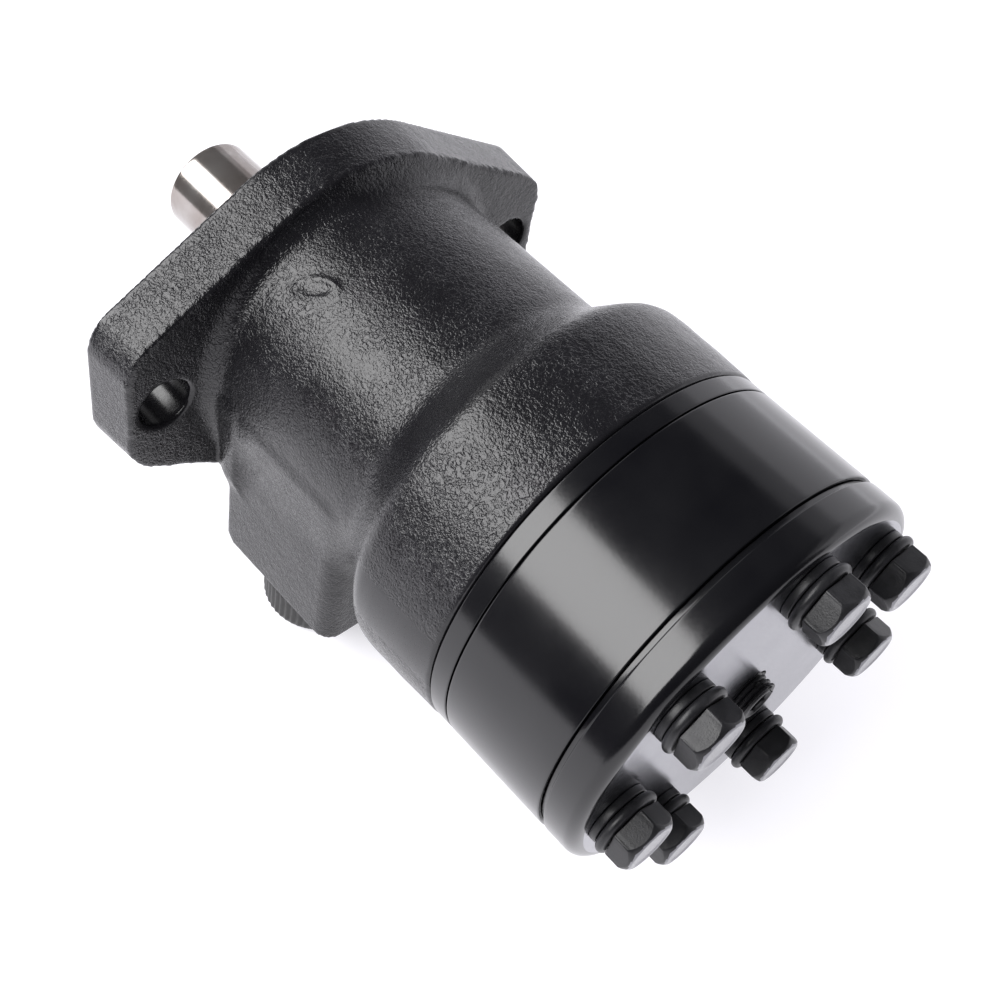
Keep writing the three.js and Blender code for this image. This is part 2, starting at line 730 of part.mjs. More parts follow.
function lockWasher() {
  const front = COVER_REAR - FLAT_WASHER_T - 2 * GAP;
  const rear = front - LOCK_WASHER_T;
  return turned([
    [front, BOLT_HOLE_R],
    [rear, BOLT_HOLE_R],
    [rear, LOCK_WASHER_R - 0.8],
    [(front + rear) / 2, LOCK_WASHER_R],
    [front, LOCK_WASHER_R - 0.5],
  ], WASHER_SEGMENTS);
}

function oring(face, side) {
  const middle = face - side * (ORING_GROOVE_DEPTH - GAP - ORING_SECTION_R);
  const section = Array.from({ length: ORING_SECTION_SIDES }, (_, index) => {
    const angle = (-index * 2 * Math.PI) / ORING_SECTION_SIDES;
    return [
      middle + ORING_SECTION_R * Math.cos(angle),
      ORING_R + ORING_SECTION_R * Math.sin(angle),
    ];
  });
  return turned(section, ORING_SEGMENTS);
}

// ---------- port plugs ----------

// A knurled plastic transit plug: a ribbed cap outside the port face, a stem inside.
function portPlug() {
  const points = Array.from({ length: 2 * PLUG_KNURLS }, (_, index) => {
    const radius = PLUG_CAP_R - (index % 2) * PLUG_KNURL_DEPTH;
    return new THREE.Vector2(...onCircle(radius, (index * Math.PI) / PLUG_KNURLS));
  });
  const top = PORT_FACE_Z - GAP;
  const cap = pulledUp(new THREE.Shape(points), top - PLUG_CAP_T, top);
  const stem = bar([0, 0, top - 1], [0, 0, PORT_FACE_Z + PORT_DEPTH - 3], PORT_R - 2 * GAP, 20);
  return cap.add(stem);
}

function drainPlug() {
  const top = PORT_FACE_Z - DRAIN_WASHER_T - 2 * GAP;
  const bottom = top - DRAIN_HEAD_T;
  const head = bar([0, 0, bottom], [0, 0, top], DRAIN_HEAD_R, 20);
  const stem = bar([0, 0, top - 1], [0, 0, PORT_FACE_Z + DRAIN_DEPTH], DRAIN_R - GAP, 14);
  const socket = bar([0, 0, bottom - 1], [0, 0, top + 3], DRAIN_SOCKET_R, 6);
  return head.add(stem).subtract(socket);
}

function drainWasher() {
  const bottom = PORT_FACE_Z - DRAIN_WASHER_T - GAP;
  const disc = bar([0, 0, bottom], [0, 0, PORT_FACE_Z - GAP], DRAIN_HEAD_R - 0.4, 20);
  return disc.subtract(bar([0, 0, bottom - 1], [0, 0, PORT_FACE_Z], DRAIN_R + 0.2, 14));
}

// ---------- assembly ----------

const motor = new THREE.Group();

function place(name, manifold, material, position = [0, 0, 0], turn = 0) {
  const mesh = new THREE.Mesh(geometryOf(manifold), material);
  mesh.name = name;
  mesh.position.set(...position);
  mesh.rotation.x = turn;
  motor.add(mesh);
  return mesh;
}

place('housing', housing(), castBlack());
place('output_shaft', outputShaft(), polishedSteel());
place('shaft_key', shaftKey(), groundSteel());
place('dust_seal', dustSeal(), blackRubber());
place('shaft_seal', shaftSeal(), blackRubber());
place('thrust_race_front', thrustRace(1), groundSteel());
place('thrust_needle_cage', needleCage(), groundSteel());
place('thrust_race_rear', thrustRace(-1), groundSteel());
place('spacer_plate', spacerPlate(), satinBlack());
place('stator_ring', statorRing(), satinBlack());
place('end_cover', endCover(), satinBlack());
place('cover_centre_plug', centrePlug(), oxideBlack());
place('oring_housing', oring(HOUSING_END, -1), blackRubber());
place('oring_stator', oring(STATOR_FRONT, 1), blackRubber());
place('oring_cover', oring(COVER_FRONT, 1), blackRubber());

for (let index = 0; index < ROLLER_COUNT; index += 1) {
  const where = onCircle(ROLLER_CIRCLE_R, rollerAngle(index));
  place(`roller_${index + 1}`, roller(), groundSteel(), [0, ...where]);
}

// the star and its spacer sit off the shaft's axis, toward the first roller
const starCentre = onCircle(ORBIT_R, ROLLER_PHASE);
place('star_rotor', starRotor(), groundSteel(), [0, ...starCentre], ROLLER_PHASE);
place('thrust_spacer', thrustSpacer(), groundSteel(), [0, ...starCentre]);

const link = place('drive_link', driveLink(), groundSteel(), [LINK_FRONT_PIVOT, 0, 0]);
const linkAxis = new THREE.Vector3(LINK_REAR_PIVOT - LINK_FRONT_PIVOT, ...starCentre).normalize();
link.quaternion.setFromUnitVectors(new THREE.Vector3(-1, 0, 0), linkAxis);

for (let index = 0; index < BOLT_COUNT; index += 1) {
  const where = [0, ...onCircle(BOLT_CIRCLE_R, boltAngle(index))];
  const turn = THREE.MathUtils.degToRad(HEAD_TURNS[index]);
  place(`cover_bolt_${index + 1}`, coverBolt(), oxideBlack(), where, turn);
  place(`flat_washer_${index + 1}`, flatWasher(), oxideBlack(), where);
  place(`lock_washer_${index + 1}`, lockWasher(), oxideBlack(), where);
}

place('port_plug_a', portPlug(), blackPlastic(), [PORT_X, PORT_Y, 0]);
place('port_plug_b', portPlug(), blackPlastic(), [PORT_X, -PORT_Y, 0]);
place('drain_plug', drainPlug(), groundSteel(), [DRAIN_X, 0, 0]);
place('drain_washer', drainWasher(), groundSteel(), [DRAIN_X, 0, 0]);

export default motor;
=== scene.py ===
# Looks for the orbital hydraulic motor: finer pieces over the CAD frame, procedural
# materials, a plain studio and the camera. Lengths are in millimetres until a mesh is
# made, and in metres after that. +X runs out along the shaft and +Z is up.

import json
import math

import bpy
import numpy as np
from mathutils import Euler, Matrix, Vector, noise


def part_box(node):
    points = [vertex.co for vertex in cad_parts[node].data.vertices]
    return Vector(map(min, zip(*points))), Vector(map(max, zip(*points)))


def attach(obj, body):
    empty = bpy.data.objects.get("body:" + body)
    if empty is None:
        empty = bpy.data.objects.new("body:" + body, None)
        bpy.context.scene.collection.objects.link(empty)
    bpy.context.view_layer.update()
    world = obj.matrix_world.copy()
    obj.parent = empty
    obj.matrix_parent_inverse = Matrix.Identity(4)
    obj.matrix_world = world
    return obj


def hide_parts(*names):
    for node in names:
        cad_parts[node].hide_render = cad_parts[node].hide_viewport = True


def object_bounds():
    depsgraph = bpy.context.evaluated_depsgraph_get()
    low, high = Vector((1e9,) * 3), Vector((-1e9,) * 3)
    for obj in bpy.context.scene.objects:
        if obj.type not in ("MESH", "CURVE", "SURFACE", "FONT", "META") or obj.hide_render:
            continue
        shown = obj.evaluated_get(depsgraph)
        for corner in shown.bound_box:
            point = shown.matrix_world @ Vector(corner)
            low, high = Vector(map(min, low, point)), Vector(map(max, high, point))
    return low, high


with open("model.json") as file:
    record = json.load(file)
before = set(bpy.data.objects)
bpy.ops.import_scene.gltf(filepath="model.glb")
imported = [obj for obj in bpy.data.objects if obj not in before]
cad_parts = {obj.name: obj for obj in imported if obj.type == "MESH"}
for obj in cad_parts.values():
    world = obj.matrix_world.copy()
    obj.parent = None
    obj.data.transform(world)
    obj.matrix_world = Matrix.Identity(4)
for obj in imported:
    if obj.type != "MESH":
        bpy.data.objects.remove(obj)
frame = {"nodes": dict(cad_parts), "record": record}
cad_box = [list(corner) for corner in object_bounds()]

MM = 0.001

# ---------- dimensions shared with the CAD ----------

FLANGE_T = 14.4
FLANGE_R = 46.5
FLANGE_HALF = 64.0
FLANGE_SLOPE = math.radians(30)
FLANGE_CORNER_R = 5.5
FLANGE_DRAFT = 0.018
HOLE_Y = 53.2
HOLE_R = 6.75
SPIGOT_R = 41.25
SPIGOT_T = 2.4
BARREL_R = 40.3
HOUSING_END = -104.0
BODY_R = 50.1
CHEEK_Y = 38.0
BLOCK_FRONT = -18.0
BLOCK_REAR = -60.0
PORT_FACE_Z = -57.3
PORT_R = 10.2
PORT_DEPTH = 17.0
DRAIN_R = 6.0
SPOOL_R = 21.7
GAP = 0.3
SHAFT_R = 12.5
HEAD_FLATS = 13.0
HEAD_TURNS = (32, 52, 2, 56, 20, 54, 32)
ROLLER_CIRCLE_R = 32.2
POCKET_R = 8.2
STATOR_BORE_R = 31.2
KEY_ANGLE = math.radians(-120)
KEYWAY = (8.0, 40.0)
KEY_WIDTH = 8.0
KEY_DEPTH = 4.0
KEY_STANDS = 3.0
SHAFT_COLLAR_R = 14.0
BOLTS = 7
HEAD_T = 5.9
BOLT_SHANK_R = 3.9
WASHER_BORE_R = 4.3
COVER_BORE_R = 5.5
CENTRE_SOCKET = 5.8
DRAIN_SOCKET = 6.0

# the oval mark left by the mould on top of the barrel: its place and half sizes
OVAL_X = -28.6
OVAL_ANGLE = math.radians(53.3)
OVAL_HALF = (4.8, 2.3)

# barrel, shoulder and drum: radius along the body, front to rear
BODY_PROFILE = (
    (-10.0, 40.3), (-64.3, 40.2), (-66.3, 40.5), (-68.4, 41.5), (-70.6, 43.2),
    (-77.2, 49.0), (-78.3, 49.8), (-80.3, 50.5), (-84.0, 50.75), (-95.0, 50.6),
    (-101.0, 50.4), (-105.0, 50.25),
)


def box_mm(node):
    low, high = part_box(node)
    return np.array(low) / MM, np.array(high) / MM


def middle_mm(node):
    low, high = box_mm(node)
    return (low + high) / 2


# ---------- node helpers ----------

class Nodes:
    """A short way to add and wire shader nodes in one material. Noise scales are per
    metre, in the object's own coordinates."""

    def __init__(self, name):
        self.material = bpy.data.materials.new(name)
        self.material.use_nodes = True
        self.tree = self.material.node_tree
        self.shader = self.tree.nodes["Principled BSDF"]
        self.place = self.add("ShaderNodeTexCoord").outputs["Object"]

    def add(self, kind, **settings):
        node = self.tree.nodes.new(kind)
        for name, value in settings.items():
            setattr(node, name, value)
        return node

    def link(self, output, socket):
        self.tree.links.new(output, socket)

    def scaled(self, x, y, z):
        node = self.add("ShaderNodeMapping")
        node.inputs["Scale"].default_value = (x, y, z)
        self.link(self.place, node.inputs["Vector"])
        return node.outputs["Vector"]

    def noise(self, scale, detail=3.0, rough=0.55, warp=0.0, vector=None):
        node = self.add("ShaderNodeTexNoise")
        node.inputs["Scale"].default_value = scale
        node.inputs["Detail"].default_value = detail
        node.inputs["Roughness"].default_value = rough
        node.inputs["Distortion"].default_value = warp
        self.link(vector or self.place, node.inputs["Vector"])
        return node.outputs["Fac"]

    def ramp(self, value, low, high, out_low=0.0, out_high=1.0):
        node = self.add("ShaderNodeMapRange")
        node.inputs["From Min"].default_value = low
        node.inputs["From Max"].default_value = high
        node.inputs["To Min"].default_value = out_low
        node.inputs["To Max"].default_value = out_high
        self.link(value, node.inputs["Value"])
        return node.outputs["Result"]

    def colours(self, value, stops):
        node = self.add("ShaderNodeValToRGB")
        elements = node.color_ramp.elements
        while len(elements) < len(stops):
            elements.new(0.5)
        for element, (position, colour) in zip(elements, stops):
            element.position = position
            element.color = (*colour, 1.0)
        self.link(value, node.inputs["Fac"])
        return node.outputs["Color"]

    def maths(self, operation, first, second):
        node = self.add("ShaderNodeMath", operation=operation)
        for socket, value in zip(node.inputs, (first, second)):
            if isinstance(value, (int, float)):
                socket.default_value = value
            else:
                self.link(value, socket)
        return node.outputs["Value"]

    def bumps(self, layers):
        """Stacks (height, strength, distance in mm) layers and feeds the shader."""
        normal = None
        for height, strength, depth in layers:
            node = self.add("ShaderNodeBump")
            if isinstance(strength, float):
                node.inputs["Strength"].default_value = strength
            else:
                self.link(strength, node.inputs["Strength"])
            node.inputs["Distance"].default_value = depth * MM
            self.link(height, node.inputs["Height"])
            if normal is not None:
                self.link(normal, node.inputs["Normal"])
            normal = node.outputs["Normal"]
        self.link(normal, self.shader.inputs["Normal"])

    def set(self, **values):
        for name, value in values.items():
            self.shader.inputs[name.replace("_", " ")].default_value = value


# ---------- materials ----------

def cast_black():
    """Black paint over a sand casting: a fine grain, and creases in worn patches."""
    m = Nodes("cast_black")
    m.set(Metallic=0.0, IOR=1.46)
    grain = m.noise(1700, 2.0, 0.5)
    patch = m.noise(60, 3.0, 0.6)
    colour = m.colours(patch, [(0.3, (0.0055, 0.0053, 0.0064)), (0.7, (0.0095, 0.0093, 0.011))])
    m.link(colour, m.shader.inputs["Base Color"])
    m.link(m.ramp(grain, 0.3, 0.7, 0.19, 0.29), m.shader.inputs["Roughness"])
    # the curly creases of paint over cast iron follow the middle level of a noise
    level = m.maths("SUBTRACT", m.noise(760, 2.0, 0.5), 0.5)
    crease = m.ramp(m.maths("ABSOLUTE", level, 0), 0, 0.09)
    # raw is 1 on the cast surface and 0 where the housing is machined
    raw = m.add("ShaderNodeAttribute", attribute_name="raw").outputs["Fac"]
    deep = m.maths("MULTIPLY", raw, 0.7)
    worn = m.maths("MULTIPLY", raw, m.ramp(patch, 0.35, 0.6, 0.2, 0.75))
    m.bumps([(m.noise(480, 2.0, 0.5), deep, 0.22), (crease, worn, 0.11), (grain, deep, 0.2)])
    return m.material


def satin_black():
    """The coating on the turned plate, stator and cover, with faint tool lines."""
    m = Nodes("satin_black")
    m.set(Metallic=0.0, IOR=1.5)
    patch = m.noise(60, 2.0, 0.5)
    colour = m.colours(patch, [(0.35, (0.004, 0.004, 0.005)), (0.65, (0.006, 0.006, 0.007))])
    m.link(colour, m.shader.inputs["Base Color"])
    fine = m.noise(1500, 2.0, 0.6)
    turned = m.noise(1.0, 2.0, 0.5, 0.0, m.scaled(2600, 60, 60))
    rough = m.maths("ADD", m.ramp(patch, 0.3, 0.7, 0.14, 0.18), m.ramp(fine, 0.3, 0.7, 0, 0.03))
    m.link(rough, m.shader.inputs["Roughness"])
    m.bumps([(fine, 0.25, 0.02), (turned, 0.10, 0.02)])
    return m.material


def painted_reflection_coat(name, dark, light):
    """A thin metal-like coat for flat faces, brighter than the paint beside it: a painted
    reflection of the pale floor that these faces look toward.
    """
    m = Nodes(name)
    m.set(Metallic=1.0)
    patch = m.noise(70, 2.0, 0.5)
    colour = m.colours(patch, [(0.3, dark), (0.7, light)])
    m.link(colour, m.shader.inputs["Base Color"])
    fine = m.noise(1600, 2.0, 0.6)
    m.link(m.ramp(fine, 0.3, 0.7, 0.20, 0.26), m.shader.inputs["Roughness"])
    m.bumps([(fine, 0.12, 0.02)])
    return m.material


def black_oxide():
    """The dull forged finish of the bolts and washers."""
    m = Nodes("black_oxide")
    m.set(Metallic=0.0, IOR=1.40)
    patch = m.noise(260, 3.0, 0.6)
    colour = m.colours(patch, [(0.3, (0.008, 0.008, 0.009)), (0.7, (0.016, 0.016, 0.018))])
    m.link(colour, m.shader.inputs["Base Color"])
    m.link(m.ramp(patch, 0.3, 0.7, 0.32, 0.44), m.shader.inputs["Roughness"])
    m.bumps([(m.noise(700, 3.0, 0.6), 0.4, 0.06), (m.noise(2600, 2.0, 0.5), 0.7, 0.05)])
    return m.material


def steel(name, light, dark, rough, lines, metal=1.0):
    """Bright turned steel: tool lines run round the shaft's axis."""
    m = Nodes(name)
    m.set(Metallic=metal)
    stain = m.noise(90, 3.0, 0.6, 0.5)
    colour = m.colours(stain, [(0.3, dark), (0.7, light)])
    m.link(colour, m.shader.inputs["Base Color"])
    line = m.noise(1.0, 3.0, 0.6, 0.0, m.scaled(3000, 40, 40))
    m.link(m.ramp(line, 0.25, 0.75, rough * 0.8, rough * 1.25), m.shader.inputs["Roughness"])
    m.bumps([(line, lines, 0.03), (m.noise(1200, 2.0, 0.5), 0.05, 0.02)])
    return m.material


def rubber():
    m = Nodes("black_rubber")
    m.set(Metallic=0.0, IOR=1.5)
    patch = m.noise(500, 3.0, 0.6)
    colour = m.colours(patch, [(0.3, (0.012,) * 3), (0.7, (0.022,) * 3)])
    m.link(colour, m.shader.inputs["Base Color"])
    m.link(m.ramp(patch, 0.3, 0.7, 0.55, 0.7), m.shader.inputs["Roughness"])
    m.bumps([(m.noise(2500, 2.0, 0.5), 0.2, 0.04)])
    return m.material


def plastic():
    m = Nodes("black_plastic")
    m.set(Metallic=0.0, IOR=1.5)
    patch = m.noise(120, 2.0, 0.5)
    colour = m.colours(patch, [(0.3, (0.014,) * 3), (0.7, (0.022,) * 3)])
    m.link(colour, m.shader.inputs["Base Color"])
    m.link(m.ramp(m.noise(900), 0.3, 0.7, 0.38, 0.5), m.shader.inputs["Roughness"])
    m.bumps([(m.noise(1800, 2.0, 0.5), 0.25, 0.05)])
    return m.material


def soft_metal():
    m = Nodes("washer_metal")
    m.set(Metallic=1.0)
    patch = m.noise(400, 3.0, 0.6)
    colour = m.colours(patch, [(0.3, (0.45, 0.24, 0.13)), (0.7, (0.62, 0.36, 0.21))])
    m.link(colour, m.shader.inputs["Base Color"])
    m.link(m.ramp(patch, 0.3, 0.7, 0.3, 0.45), m.shader.inputs["Roughness"])
    m.bumps([(m.noise(1500, 2.0, 0.5), 0.2, 0.04)])
    return m.material


MATERIALS = {
    "cast_black": cast_black(),
    "satin_black": satin_black(),
    "black_oxide": black_oxide(),
    "polished_steel": steel(
        "polished_steel", (0.37, 0.348, 0.335), (0.26, 0.228, 0.212), 0.15, 0.25, 0.85
    ),
    "ground_steel": steel("ground_steel", (0.58, 0.58, 0.59), (0.44, 0.44, 0.45), 0.26, 0.4),
    "brass_washer": soft_metal(),
    "black_rubber": rubber(),
    "black_plastic": plastic(),
}

# painted highlight: the tops of the bolt heads take a brighter copy of the finish, for the lit
# floor they reflect, so they look a little brighter than their sides
HEAD_TOP_HIGHLIGHT = painted_reflection_coat("bolt_head_top_painted_highlight", (0.17, 0.17, 0.182), (0.22, 0.22, 0.234))

SLOT_OF = {row["node"]: row["material_slot"] for row in frame["record"]["subparts"]}
BODY_OF = {
    node: body
    for body, members in frame["record"]["behaviour"]["bodies"].items()
    for node in members
}


# ---------- mesh helpers ----------

def mesh_object(name, points, faces, smooth=30.0):
    """A mesh from points in millimetres. Edges sharper than the angle stay crisp."""
    mesh = bpy.data.meshes.new(name)
    mesh.from_pydata((np.asarray(points, float) * MM).tolist(), [], faces)
    mesh.update()
    mesh.validate()
    for polygon in mesh.polygons:
        polygon.use_smooth = True
    mesh.set_sharp_from_angle(angle=math.radians(smooth))
    obj = bpy.data.objects.new(name, mesh)
    bpy.context.scene.collection.objects.link(obj)
    return obj


def weighted(obj):
    """Weighted normals keep wide faces flat beside narrow rounded edges."""
    modifier = obj.modifiers.new("weighted", "WEIGHTED_NORMAL")
    modifier.keep_sharp = True
    return obj


def bevelled(obj, width):
    modifier = obj.modifiers.new("bevel", "BEVEL")
    modifier.width = width * MM
    modifier.segments = 3
    modifier.limit_method = "ANGLE"
    modifier.angle_limit = math.radians(25)
    return obj


def stands_for(obj, node):
    """Gives the piece the node's slot, finish and body, and hides the node."""
    slot = SLOT_OF[node]
    obj.data.materials.clear()
    obj.data.materials.append(MATERIALS[slot])
    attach(obj, BODY_OF[node])
    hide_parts(node)
    return obj


def arc(x, r, radius, start, end, count=6):
    """Points [x, r] on an arc, with its angles in degrees from the +X direction."""
    angles = np.radians(np.linspace(start, end, count))
    return [(x + radius * math.cos(a), r + radius * math.sin(a)) for a in angles]


def full_turn(count):
    return np.linspace(0, 2 * math.pi, count, endpoint=False)


def turned_ring(x, radius, angles, centre=(0.0, 0.0)):
    """A ring of points in the plane x; its radius may change with the angle."""
    r = np.broadcast_to(radius, angles.shape)
    y, z = centre[0] + r * np.cos(angles), centre[1] + r * np.sin(angles)
    return np.stack([np.broadcast_to(x, angles.shape), y, z], axis=1)


def level_ring(z, radius, angles, place):
    """The same at the height z, about a vertical axis."""
    r = np.broadcast_to(radius, angles.shape)
    x, y = place[0] + r * np.cos(angles), place[1] + r * np.sin(angles)
    return np.stack([x, y, np.full(len(angles), z)], axis=1)


def hexagon_radius(flats, angles):
    """Distance from the middle of a hexagon to its edge, with flats across its sides."""
    return (flats / 2) / np.cos((angles + math.pi / 6) % (math.pi / 3) - math.pi / 6)


def rings_to_mesh(rings, closed_loop):
    """Faces between rings that have the same number of points, in order."""
    count = len(rings[0])
    total = len(rings)
    faces = []
    spans = total if closed_loop else total - 1
    for i in range(spans):
        a, b = i * count, ((i + 1) % total) * count
        for j in range(count):
            k = (j + 1) % count
            faces.append((a + j, b + j, b + k, a + k))
    return np.concatenate(rings), faces


def with_tips(rings, first_tip, last_tip):
    """Faces between open rings, closed by a fan to a point at each end."""
    points, faces = rings_to_mesh(rings, False)
    count = len(rings[0])
    first, last = len(points), len(points) + 1
    points = np.vstack([points, first_tip, last_tip])
    base = (len(rings) - 1) * count
    for j in range(count):
        k = (j + 1) % count
        faces.append((first, j, k))
        faces.append((last, base + k, base + j))
    return points, faces


def outward_object(name, points, faces, smooth=30.0):
    obj = mesh_object(name, points, faces, smooth)
    fix_outward(obj)
    return obj


def lathe(name, profile, segments=128, closed_loop=True, centre=(0.0, 0.0)):
    """Turns [x, r] points about the X axis through centre. An open profile is capped
    at both ends, where it lies on the axis."""
    angles = full_turn(segments)
    if closed_loop:
        rings = [turned_ring(x, r, angles, centre) for x, r in profile]
        points, faces = rings_to_mesh(rings, True)
    else:
        rings = [turned_ring(x, r, angles, centre) for x, r in profile[1:-1]]
        points, faces = with_tips(rings, [profile[0][0], *centre], [profile[-1][0], *centre])
    return weighted(outward_object(name, points, faces))


def fix_outward(obj):
    """Turns the faces the other way if the mesh is inside out."""
    mesh = obj.data
    volume = 0.0
    for polygon in mesh.polygons:
        corners = [mesh.vertices[i].co for i in polygon.vertices]
        for i in range(1, len(corners) - 1):
            volume += corners[0].dot(corners[i].cross(corners[i + 1]))
    if volume < 0:
        mesh.flip_normals()


# ---------- the cast housing, as one surface of a distance formula ----------

def round_join(a, b, radius):
    """The union of two solids, with a fillet where they meet."""
    u = np.maximum(radius - a, 0)
    v = np.maximum(radius - b, 0)
    return np.maximum(radius, np.minimum(a, b)) - np.hypot(u, v)


def round_meet(a, b, radius):
    """The overlap of two solids, with its edge rounded."""
    u = np.maximum(radius + a, 0)
    v = np.maximum(radius + b, 0)
    return np.minimum(-radius, np.maximum(a, b)) + np.hypot(u, v)


def flange_outline(x, y, z):
    """Distance to the flange's outline, which draws in toward the rear."""
    scale = 1 + FLANGE_DRAFT * np.clip(x, -FLANGE_T, 0) / FLANGE_T
    across, up = np.abs(y) / scale, np.abs(z) / scale
    straight = across * math.sin(FLANGE_SLOPE) + up * math.cos(FLANGE_SLOPE) - FLANGE_R
    curved = np.hypot(across, up) - FLANGE_R
    side = np.where(across > up * math.tan(FLANGE_SLOPE), straight, curved)
    return round_meet(side, across - FLANGE_HALF, FLANGE_CORNER_R)


def body_radius(x):
    """The body's profile with its corners smoothed by a bell-shaped average."""
    stations = np.array([p[0] for p in BODY_PROFILE])[::-1]
    radii = np.array([p[1] for p in BODY_PROFILE])[::-1]
    fine = np.linspace(stations[0], stations[-1], 400)
    level = np.interp(fine, stations, radii)
    kernel = np.exp(-0.5 * (np.arange(-12, 13) / 2.6) ** 2)
    kernel /= kernel.sum()
    smooth = np.convolve(np.pad(level, 12, mode="edge"), kernel, mode="valid")
    return np.interp(x, fine, smooth)


def housing_distance(x, y, z):
    """About how far a point is outside the finished casting; below zero is inside."""
    rad = np.hypot(y, z)
    outline = flange_outline(x, y, z)
    flange = round_meet(round_meet(outline, x, 0.4), -FLANGE_T - x, 0.8)
    barrel = (rad - body_radius(x)) * 0.86
    barrel = np.maximum(barrel, x + 8)
    plan = round_meet(np.abs(y) - CHEEK_Y, BLOCK_REAR - x, 5.0)
    plan = round_meet(plan, x - BLOCK_FRONT, 1.0)
    plan = np.maximum(plan, round_meet(x - BLOCK_FRONT, PORT_FACE_Z - z, 4.5))
    block = round_meet(plan, np.maximum(PORT_FACE_Z - z, z + 5), 0.5)
    neck = round_meet(outline, np.abs(y) - CHEEK_Y, 1.0)
    neck = np.maximum(neck, np.maximum(z + 5, np.abs(x + 14) - 6))
    solid = round_join(barrel, np.minimum(flange, neck), 5.0)
    solid = round_join(solid, block, 5.4)
    solid = round_meet(solid, HOUSING_END - x, 0.7)
    spigot = round_meet(rad - SPIGOT_R, np.maximum(x - SPIGOT_T, -2 - x), 0.7)
    solid = round_join(solid, spigot, 0.4)
    for side in (-1, 1):
        hole = np.minimum(HOLE_R - np.hypot(y - side * HOLE_Y, z), x + 30)
        solid = round_meet(solid, hole, 0.8)
        port = np.hypot(x - PORT_PLACE[0], y - side * PORT_PLACE[1]) - PORT_R
        port = np.maximum(port, z - PORT_FACE_Z - PORT_DEPTH)
        solid = round_meet(solid, -port, 0.7)
    drain = np.hypot(x - DRAIN_PLACE, y) - DRAIN_R
    drain = np.maximum(drain, z - PORT_FACE_Z - 12)
    solid = round_meet(solid, -drain, 0.5)
    for low, high, radius in BORE_STEPS:
        cutter = np.maximum(rad - radius, np.maximum(low - x, x - high))
        solid = np.maximum(solid, -cutter)
    return solid


PORT_PLACE = middle_mm("port_plug_a")[:2]
DRAIN_PLACE = middle_mm("drain_plug")[0]
BORE_STEPS = (
    (-3.0, SPIGOT_T + 3, 19.0),
    (-5.5, -2.0, 14.8),
    (-12.5, -5.0, 18.5),
    (HOUSING_END - 3, -12.0, SPOOL_R + GAP),
)


def surface_net(distance, low, high, step):
    """A quad mesh of the zero level of a distance formula, one point to a cell."""
    axes = [np.arange(a, b + step, step, dtype=np.float32) for a, b in zip(low, high)]
    x, y, z = np.meshgrid(*axes, indexing="ij", sparse=True)
    field = distance(x + 0 * y + 0 * z, y + 0 * x + 0 * z, z + 0 * x + 0 * y)
    inside = field < 0
    size = np.array(field.shape) - 1
    corners = [(i, j, k) for i in (0, 1) for j in (0, 1) for k in (0, 1)]

    def shifted(array, offset):
        i, j, k = offset
        return array[i:i + size[0], j:j + size[1], k:k + size[2]]

    some = np.zeros(size, bool)
    every = np.ones(size, bool)
    for corner in corners:
        some |= shifted(inside, corner)
        every &= shifted(inside, corner)
    cells = np.argwhere(some & ~every)
    number = np.full(size, -1, np.int64)
    number[tuple(cells.T)] = np.arange(len(cells))
    total = np.zeros((len(cells), 3))
    hits = np.zeros(len(cells))
    for a in corners:
        for axis in range(3):
            if a[axis]:
                continue
            b = tuple(v + (n == axis) for n, v in enumerate(a))
            fa = field[tuple((cells + a).T)]
            fb = field[tuple((cells + b).T)]
            cross = (fa < 0) != (fb < 0)
            share = np.where(cross, fa / np.where(cross, fa - fb, 1), 0)
            point = cells + np.array(a) + share[:, None] * (np.arange(3) == axis)
            total += np.where(cross[:, None], point, 0)
            hits += cross
    points = total / hits[:, None] * step + np.array(low)
    faces = []
    for axis in range(3):
        u, v = (axis + 1) % 3, (axis + 2) % 3
        near = np.take(inside, range(size[axis]), axis)
        far = np.take(inside, range(1, size[axis] + 1), axis)
        edges = np.argwhere(near != far)
        keep = (edges[:, u] > 0) & (edges[:, v] > 0)
        keep &= (edges[:, u] < size[u]) & (edges[:, v] < size[v])
        edges = edges[keep]
        back_u, back_v = np.eye(3, dtype=int)[u], np.eye(3, dtype=int)[v]
        still = np.zeros(3, dtype=int)
        quad = np.stack(
            [number[tuple((edges - o).T)] for o in (back_u + back_v, back_v, still, back_u)],
            axis=1,
        )
        flip = ~near[tuple(edges.T)]
        quad[flip] = quad[flip][:, ::-1]
        faces.append(quad)
    return points, np.concatenate(faces)


def slope_of(distance, points, reach=0.08):
    """The gradient of a distance formula, from points a short reach to each side."""
    grad = np.zeros_like(points)
    for axis in range(3):
        step = np.zeros(3)
        step[axis] = reach
        ahead, behind = points + step, points - step
        grad[:, axis] = (distance(*ahead.T) - distance(*behind.T)) / (2 * reach)
    return grad


def cast_housing():
    """The net's points are drawn onto the formula's surface, then given their relief."""
    step = 0.75
    low, high = (-106.0, -66.0, -60.0), (5.0, 66.0, 53.0)
    points, faces = surface_net(housing_distance, low, high, step)
    for _ in range(4):
        grad = slope_of(housing_distance, points)
        size = np.maximum((grad ** 2).sum(1), 0.05)
        move = (housing_distance(*points.T) / size)[:, None] * grad
        points = points - np.clip(move, -0.5, 0.5)
    grad = slope_of(housing_distance, points)
    normal = grad / np.maximum(np.linalg.norm(grad, axis=1), 1e-6)[:, None]
    relief, raw = cast_relief(points, normal)
    points = points + normal * relief[:, None]
    obj = mesh_object("housing_casting", points, faces.tolist(), 80)
    mask = obj.data.attributes.new("raw", "FLOAT", "POINT")
    mask.data.foreach_set("value", np.clip(raw, 0, 1).astype(np.float32))
    return stands_for(obj, "housing")


